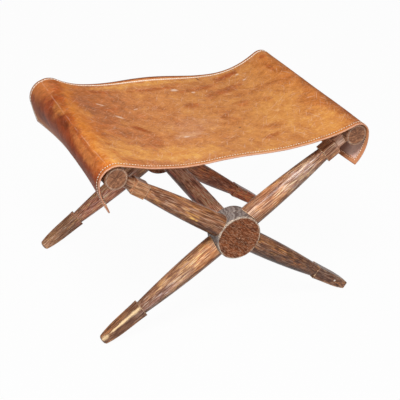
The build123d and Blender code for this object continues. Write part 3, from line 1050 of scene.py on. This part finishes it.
outer_stitches = sew("outer_stitches", 0.0, 0.5, 1)
under_stitches = sew("under_stitches", 2 * fold_radius, 1.0, -1)

# %% [markdown]
# ## Saddle leather
#
# Old harness leather is never one colour. It is orange where it was handled, red and dark
# where it creases over the left rail, and pale and tan where people sat. The broad changes
# follow the sheet, so they are a colour ramp read along it, and the sheet's own flat measure
# in metres is its UV map. Over that lie clouds, stains, scuffs and scratches of several sizes.

# %% Scratch group
scratch_group, given, wanted = new_group(
    "Fine scratches",
    {"Vector": "Vector", "Turn": "Float", "Shift": "Float"},
    {"Mask": "Float"},
)
spun = add_node(scratch_group, "ShaderNodeVectorRotate",
                {"Vector": given["Vector"], "Angle": given["Turn"]},
                rotation_type="Z_AXIS").outputs["Vector"]
spun = vector_calc(scratch_group, "ADD", spun, given["Shift"])
bent = streaks(scratch_group, spun, (26.0, 330.0, 1.0), detail=2.0, distortion=0.9)
connect(scratch_group, rescale(scratch_group, bent, 0.62, 0.72), wanted["Mask"])
print(f"{scratch_group.name}: {len(scratch_group.nodes)} nodes")


# %% Stains and scuffs, placed on the flat sheet
def on_sheet(along, across, half_length, half_width, turn, colour, share):
    """A patch on the flat sheet, turned so many degrees from lying along it."""
    return (along, across, 0), (half_length, half_width, 1), turn, colour, share


orange = tone(206, 124, 52)
golden = tone(226, 158, 84)
red_brown = tone(158, 68, 28)
dark_brown = tone(116, 54, 30)
dull = tone(170, 104, 66)
smudge = tone(172, 86, 44)
handled = tone(212, 134, 72)
faded_and_sheen = tone(216, 160, 122)
scuffed = tone(238, 208, 184)
nick = tone(70, 40, 28)
stains = [on_sheet(*stain) for stain in (
    # the left flap and roll
    (0.132, 0.15, 0.014, 0.22, -4.5, orange, 0.80),
    (0.094, 0.22, 0.016, 0.14, -2, red_brown, 0.42),
    (0.106, 0.24, 0.010, 0.060, -3, dark_brown, 0.75),
    (0.112, 0.425, 0.032, 0.085, 0, tone(202, 122, 66), 0.85),
    (0.084, 0.320, 0.032, 0.100, -10, red_brown, 0.38),
    (0.142, 0.050, 0.022, 0.090, 0, golden, 0.65),
    (0.106, 0.100, 0.020, 0.110, -4, handled, 0.60),
    (0.062, 0.365, 0.024, 0.056, 0, dark_brown, 0.60),
    (0.090, 0.290, 0.014, 0.050, -14, dark_brown, 0.35),
    (crease_along + 0.011, 0.315, 0.011, 0.062, -4, red_brown, 0.42),
    (crease_along - 0.0045, 0.130, 0.0045, 0.110, -2, red_brown, 0.55),
    (0.055, 0.16, 0.020, 0.140, 0, dark_brown, 0.25),
    (0.030, 0.00, 0.045, 0.020, 0, dark_brown, 0.45),
    # the seat
    (0.186, 0.33, 0.030, 0.070, 0, dull, 0.75),
    (0.205, 0.27, 0.035, 0.060, 0, dull, 0.55),
    (0.273, 0.198, 0.034, 0.011, -55, red_brown, 0.75),
    (0.443, 0.301, 0.024, 0.018, 0, smudge, 0.55),
    (0.557, 0.350, 0.065, 0.018, 15, smudge, 0.60),
    (0.556, 0.262, 0.026, 0.022, 0, smudge, 0.50),
    (0.611, 0.240, 0.014, 0.030, 0, smudge, 0.45),
    (0.488, 0.220, 0.026, 0.013, 40, smudge, 0.50),
    (0.248, 0.407, 0.050, 0.010, -4, smudge, 0.60),
    (0.375, 0.400, 0.090, 0.009, 0, smudge, 0.60),
    (0.360, 0.430, 0.170, 0.013, 0, golden, 0.65),
    (0.300, 0.060, 0.120, 0.045, 0, golden, 0.80),
    (0.190, 0.080, 0.045, 0.070, 0, golden, 0.70),
    (0.600, 0.150, 0.060, 0.100, 0, golden, 0.45),
    (0.655, 0.060, 0.045, 0.090, 0, golden, 0.50),
    (0.595, 0.425, 0.060, 0.012, 4, smudge, 0.55),
    (0.500, 0.385, 0.100, 0.013, 10, smudge, 0.50),
    (0.551, 0.118, 0.028, 0.020, 0, smudge, 0.40),
    # pale pink in the seat's middle: fading, with painted sheen
    (0.370, 0.150, 0.050, 0.024, 15, faded_and_sheen, 0.55),
    (0.400, 0.200, 0.080, 0.050, 0, faded_and_sheen, 0.25),
    (0.531, 0.074, 0.032, 0.011, 20, smudge, 0.60),
    (0.588, 0.416, 0.048, 0.013, 8, red_brown, 0.60),
    (0.690, 0.418, 0.010, 0.012, 0, red_brown, 0.60),
    (0.681, 0.360, 0.006, 0.035, 0, red_brown, 0.45),
    # two nicks
    (0.490, 0.148, 0.0035, 0.003, 0, nick, 0.70),
    (0.515, 0.436, 0.0028, 0.010, 10, nick, 0.90),
)]
scuffs = [on_sheet(*scuff) for scuff in (
    (0.223, 0.334, 0.013, 0.0040, -30, scuffed, 0.75),
    (0.248, 0.266, 0.013, 0.0050, -45, scuffed, 0.75),
    (0.303, 0.311, 0.007, 0.0035, 20, scuffed, 0.65),
    (0.430, 0.387, 0.011, 0.0070, 0, scuffed, 0.75),
    (0.473, 0.367, 0.006, 0.0045, 0, scuffed, 0.70),
    (0.616, 0.409, 0.006, 0.0040, 0, scuffed, 0.70),
    (0.616, 0.372, 0.006, 0.0040, 0, scuffed, 0.70),
    (0.358, 0.143, 0.009, 0.0055, 0, scuffed, 0.70),
)]
print(f"{len(stains)} stains and {len(scuffs)} scuffs")


# %% The colour along the sheet
def flat_measure(tree):
    """A place on the flat sheet, in metres along it and across it."""
    return add_node(tree, "ShaderNodeUVMap", uv_map="flat").outputs["UV"]


grain_side, tree, shader = new_material("saddle_leather")
flat = flat_measure(tree)
axes = split(tree, flat)
wander = grain_noise(tree, flat, 7.0, detail=3.0)
skewed = calc(tree, "MULTIPLY_ADD", axes["Y"], -0.09, 0.018)      # the wear runs aslant
share = calc(tree, "DIVIDE", calc(tree, "ADD", axes["X"], skewed), sheet_length)
share = calc(tree, "ADD", share, calc(tree, "MULTIPLY_ADD", wander, 0.05, -0.025))
base = colour_ramp(tree, share, [
    (0.00, tone(206, 136, 104)),
    (0.06, tone(166, 92, 62)),
    (0.115, tone(150, 68, 35)),
    (0.145, tone(178, 90, 38)),
    (0.168, tone(208, 120, 48)),
    (0.215, tone(190, 112, 60)),
    (0.30, tone(190, 118, 70)),
    (0.38, tone(202, 130, 76)),
    (0.55, tone(204, 134, 76)),
    (0.76, tone(204, 134, 72)),
    (0.82, tone(196, 120, 60)),
    (0.845, tone(190, 114, 58)),
    # painted shade where the right roll turns down out of sight
    (0.868, tone(163, 93, 49)),
    (1.00, tone(170, 98, 62)),
])

# %% Clouds, stains and scratches
mottle = grain_noise(tree, flat, 38.0, detail=6.0, roughness=0.68, distortion=0.3)
clouds = grain_noise(tree, flat, 11.0, detail=5.0, roughness=0.62, distortion=0.8)
hatch_lines = add_node(tree, "ShaderNodeMapping",
                       {"Vector": flat, "Rotation": (0, 0, radians(64)), "Scale": (60, 260, 1)})
hatch = grain_noise(tree, hatch_lines.outputs["Vector"], 1.0, detail=3.0, roughness=0.7)
speckle = grain_noise(tree, flat, 190.0, detail=3.0, roughness=0.8)
base = lay_over(tree, base, [
    (rescale(tree, clouds, 0.46, 0.32, 0.0, 0.42), smudge),
    (rescale(tree, clouds, 0.54, 0.68, 0.0, 0.45), golden),
])
base = add_patches(tree, flat, base, stains, 55.0)
for pattern, contrast in ((mottle, 0.50), (hatch, 0.14), (speckle, 0.38)):
    level = rescale(tree, pattern, 0.30, 0.70, 0.18, 0.82)
    base = blend_colour(tree, contrast, base, level, mode="OVERLAY")
scratch_share = rescale(tree, axes["X"], 0.10, 0.18, 0.06, 0.28)
for turn, shift in ((25, 0.0), (-38, 3.7), (72, 8.2), (118, 5.1)):
    scratch = use_group(tree, scratch_group,
                        {"Vector": flat, "Turn": radians(turn), "Shift": shift})["Mask"]
    base = blend_colour(tree, calc(tree, "MULTIPLY", scratch, scratch_share), base, scuffed)
base = add_patches(tree, flat, base, scuffs, 220.0)

# %% [markdown]
# ## Crease, seam and edge
#
# These are measured from the sheet's own lines. The crease is a broken pale line that wanders
# a little. The strip outside the stitches is rubbed to a plain tan, and it is dusty along the
# left hem. The seam is a narrow groove, with painted shade in it at the front and pale with dust
# at the back. The round edge is rubbed pale along the front and has painted shade along the
# back, and what is turned under is paler again.

# %% Crease
crease_waver = streaks(tree, flat, (0.0, 9.0, 1.0), detail=2.0)
crease_wear = streaks(tree, flat, (90.0, 26.0, 1.0), detail=3.0)
crease_off = calc(tree, "ABSOLUTE", calc(
    tree, "ADD", axes["X"],
    calc(tree, "MULTIPLY_ADD", crease_waver, 0.008, -0.004 - crease_along)))
crease = calc(tree, "MULTIPLY", rescale(tree, crease_off, 0.0014, 0.0004),
              rescale(tree, crease_wear, 0.38, 0.52))
base = blend_colour(tree, calc(tree, "MULTIPLY", crease, 0.20), base, scuffed)

# %% Hem, seam and edge
from_ends = calc(tree, "MINIMUM", axes["X"], calc(tree, "SUBTRACT", sheet_length, axes["X"]))
from_sides = calc(tree, "MINIMUM", axes["Y"], calc(tree, "SUBTRACT", sheet_width, axes["Y"]))
from_edge = calc(tree, "MINIMUM", from_ends, from_sides)      # below zero where it is turned in
to_back = rescale(tree, axes["Y"], 0.5 * sheet_width, 0.9 * sheet_width)
hem_band = rescale(tree, from_edge, stitch_inset, stitch_inset - 0.0014)
seam_off = calc(tree, "ABSOLUTE", calc(tree, "SUBTRACT", from_edge, stitch_inset))
seam_share = calc(tree, "MULTIPLY", rescale(tree, seam_off, 0.0024, 0.0012),
                  rescale(tree, to_back, 0.0, 1.0, 0.28, 0.80))
# painted shade in the groove at the front, pale dust at the back
seam_shade_and_dust_colour = blend_colour(tree, to_back, tone(120, 66, 38), tone(246, 224, 198))
# painted shade along the back edge, where the fold turns away
painted_shade_back_edge = rescale(tree, axes["Y"], sheet_width - 0.0030, sheet_width - 0.0016, 0.0, 0.70)
turned_under = rescale(tree, from_edge, -0.003, -0.006, 0.0, 0.75)
left_edge = rescale(tree, axes["X"], 0.020, -0.002, 0.0, 0.60)
# the rim is rubbed pale along the front and has painted shade along the back
rim_off = calc(tree, "ABSOLUTE", calc(tree, "ADD", from_edge, 0.0016))
rim_wear_and_back_shade = calc(tree, "MULTIPLY", rescale(tree, rim_off, 0.0024, 0.0008),
                rescale(tree, speckle, 0.30, 0.55, 0.35, 0.80))
rim_wear_and_shade_colour = blend_colour(tree, to_back, tone(218, 172, 148), tone(104, 58, 38))
base = lay_over(tree, base, [
    (calc(tree, "MULTIPLY", hem_band, 0.40), tone(196, 118, 66)),
    (seam_share, seam_shade_and_dust_colour),
    (painted_shade_back_edge, tone(108, 60, 40)),
    (turned_under, tone(208, 146, 106)),
    (left_edge, tone(176, 118, 92)),
    (rim_wear_and_back_shade, rim_wear_and_shade_colour),
])
connect(tree, base, shader.inputs["Base Color"])

# %% Polish and pits
polish = rescale(tree, wander, 0.35, 0.65, 0.40, 0.54)
connect(tree, calc(tree, "MULTIPLY_ADD", speckle, 0.12, polish), shader.inputs["Roughness"])
shader.inputs["Specular IOR Level"].default_value = 0.05
pits = add_node(tree, "ShaderNodeTexVoronoi", {"Vector": flat, "Scale": 780.0})
groove = rescale(tree, seam_off, 0.0002, 0.0018, -1.0, 0.0, smooth=True)
height = calc(tree, "MULTIPLY_ADD", pits.outputs["Distance"], 0.16,
              calc(tree, "MULTIPLY", mottle, 1.5))
height = calc(tree, "MULTIPLY_ADD", groove, 0.8, height)
height = calc(tree, "MULTIPLY_ADD", hatch, 0.5, height)
add_bump(tree, shader, height, 0.0007, 0.8)
print(f"{grain_side.name}: {len(tree.nodes)} nodes")

# %% [markdown]
# ## The other faces of the leather, and the thread
#
# The flesh side is pale and napped, with painted shade inside the right flap, back from its
# front edge. The cut edge shows its layers. The linen thread is cleaner toward the back.

# %% Flesh side
flesh_side, tree, shader = new_material("leather_flesh_side")
flat = flat_measure(tree)
axes = split(tree, flat)
fibres = grain_noise(tree, flat, 420.0, detail=5.0)
cloud = grain_noise(tree, flat, 14.0, detail=5.0, roughness=0.6, distortion=0.6)
# painted shade inside the right flap, back from its front edge
painted_shade_in_flap = calc(tree, "MULTIPLY", rescale(tree, axes["X"], 0.73, 0.77),
              rescale(tree, axes["Y"], 0.034, 0.056, 0.0, 0.80))
flesh = lay_over(tree, tone(250, 212, 196), [
    (rescale(tree, cloud, 0.38, 0.66, smooth=True), tone(236, 188, 168)),
    (calc(tree, "MULTIPLY", fibres, 0.35), tone(246, 220, 206)),
    (painted_shade_in_flap, tone(140, 92, 74)),
])
connect(tree, flesh, shader.inputs["Base Color"])
connect(tree, rescale(tree, fibres, 0.3, 0.7, 0.80, 0.95), shader.inputs["Roughness"])
shader.inputs["Specular IOR Level"].default_value = 0.2
add_bump(tree, shader, fibres, 0.0004, 0.8)

# %% Cut edge
cut_edge, tree, shader = new_material("leather_cut_edge")
layers = grain_noise(tree, flat_measure(tree), 300.0)
connect(tree, colour_ramp(tree, layers, [(0.3, tone(150, 100, 74)), (0.7, tone(196, 150, 120))]),
        shader.inputs["Base Color"])
connect(tree, rescale(tree, layers, 0.3, 0.7, 0.6, 0.8), shader.inputs["Roughness"])
add_bump(tree, shader, layers, 0.0002, 0.6)

for material in (grain_side, flesh_side, cut_edge):
    sling.data.materials.append(material)
print("sling wears", [material.name for material in sling.data.materials])

# %% Thread
thread_finish, tree, shader = new_material("linen_thread")
place = add_node(tree, "ShaderNodeTexCoord").outputs["Object"]
twist = add_node(tree, "ShaderNodeTexWave", {"Vector": place, "Scale": 900.0, "Distortion": 2.0})
soil = grain_noise(tree, place, 60.0)
thread = colour_ramp(tree, soil, [(0.30, tone(216, 184, 150)), (0.55, tone(244, 228, 206))])
clean_share = rescale(tree, split(tree, place)["Y"], 0.0, 0.15)
thread = blend_colour(tree, clean_share, thread, tone(254, 246, 234))
connect(tree, thread, shader.inputs["Base Color"])
connect(tree, rescale(tree, soil, 0.3, 0.7, 0.7, 0.85), shader.inputs["Roughness"])
add_bump(tree, shader, twist.outputs["Fac"], 0.0001, 0.6)
for row in (outer_stitches, under_stitches):
    row.data.materials.append(thread_finish)

# %% [markdown]
# ## The sling in place
#
# The sling and its stitches stay where they were built, with their places baked into their
# meshes, and the plain sling of the frame is hidden.

# %% Bake the leather in place
for piece in (sling, outer_stitches, under_stitches):
    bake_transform(piece)
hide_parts("seat_sling")

# %% [markdown]
# ## Floor and light
#
# A plain white floor and white surroundings let the colours stand by themselves. The floor
# glows white for the camera and in reflections, and keeps a soft share of the shadow. To the
# light that it sends back up it is a plain grey. The surroundings are white to look at too,
# and light the stool more gently. One wide lamp hangs above and in front, a little to the
# left, and a weaker one fills from low in front.

# %% Floor
floor_glow = 0.965               # the rest of what the camera sees of it is shaded

ground = bmesh.new()
bmesh.ops.create_grid(ground, x_segments=1, y_segments=1, size=20)
floor = finish_mesh("floor", ground)
floor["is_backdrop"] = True

floor_finish, tree, shader = new_material("white_floor")
shader.inputs["Base Color"].default_value = (0.55, 0.55, 0.55, 1)
shader.inputs["Roughness"].default_value = 0.9
shader.inputs["Specular IOR Level"].default_value = 0.1
rays = tree.nodes.new("ShaderNodeLightPath").outputs
seen = calc(tree, "MAXIMUM", rays["Is Camera Ray"], calc(
    tree, "MAXIMUM", rays["Is Glossy Ray"], rays["Is Transmission Ray"]))
glow = add_node(tree, "ShaderNodeEmission", {"Color": (1, 1, 1, 1), "Strength": 1.0})
mixed = add_node(tree, "ShaderNodeMixShader",
                 {0: calc(tree, "MULTIPLY", seen, floor_glow), 1: shader.outputs["BSDF"],
                  2: glow.outputs["Emission"]})
connect(tree, mixed.outputs["Shader"], tree.nodes["Material Output"].inputs["Surface"])
floor.data.materials.append(floor_finish)

# %% Surroundings and lamps
sky_level = 0.26                 # of the light that the surroundings give

world = bpy.data.worlds.new("surroundings")
bpy.context.scene.world = world
world.use_nodes = True
tree = world.node_tree
sky = tree.nodes["Background"]
rays = tree.nodes.new("ShaderNodeLightPath").outputs
seen = calc(tree, "MAXIMUM", rays["Is Camera Ray"], rays["Is Transmission Ray"])
sky.inputs["Color"].default_value = (1, 1, 1, 1)
connect(tree, calc(tree, "MULTIPLY_ADD", seen, 1.0 - sky_level, sky_level),
        sky.inputs["Strength"])


def hang_lamp(name, place, target, size, watts):
    lamp = bpy.data.lights.new(name, "AREA")
    lamp.shape = "DISK"
    lamp.size = size
    lamp.energy = watts
    holder = add_object(name, lamp)
    holder.location = place
    holder.rotation_mode = "QUATERNION"
    holder.rotation_quaternion = (target - Vector(place)).to_track_quat("-Z", "Y")


seat_middle = Vector((0, 0, rail_z))
hang_lamp("key_lamp", (-0.8, -1.2, 2.6), seat_middle, size=1.05, watts=61)
hang_lamp("fill_lamp", (-0.5, -2.8, 0.9), seat_middle, size=1.4, watts=20)
bpy.context.scene.view_settings.view_transform = "Standard"
print(f"{len(bpy.data.lights)} lamps")

# %% [markdown]
# ## Size of what was made
#
# The leather may stand a little proud of the plain shape that it replaces, but the stool must
# keep its size. Both boxes are printed, so that they can be compared.

# %% Print the boxes
visual_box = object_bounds()
for name, (low, high) in (("frame", cad_box), ("dressed", visual_box)):
    print(name, [round(1000 * (b - a), 1) for a, b in zip(low, high)], "mm")
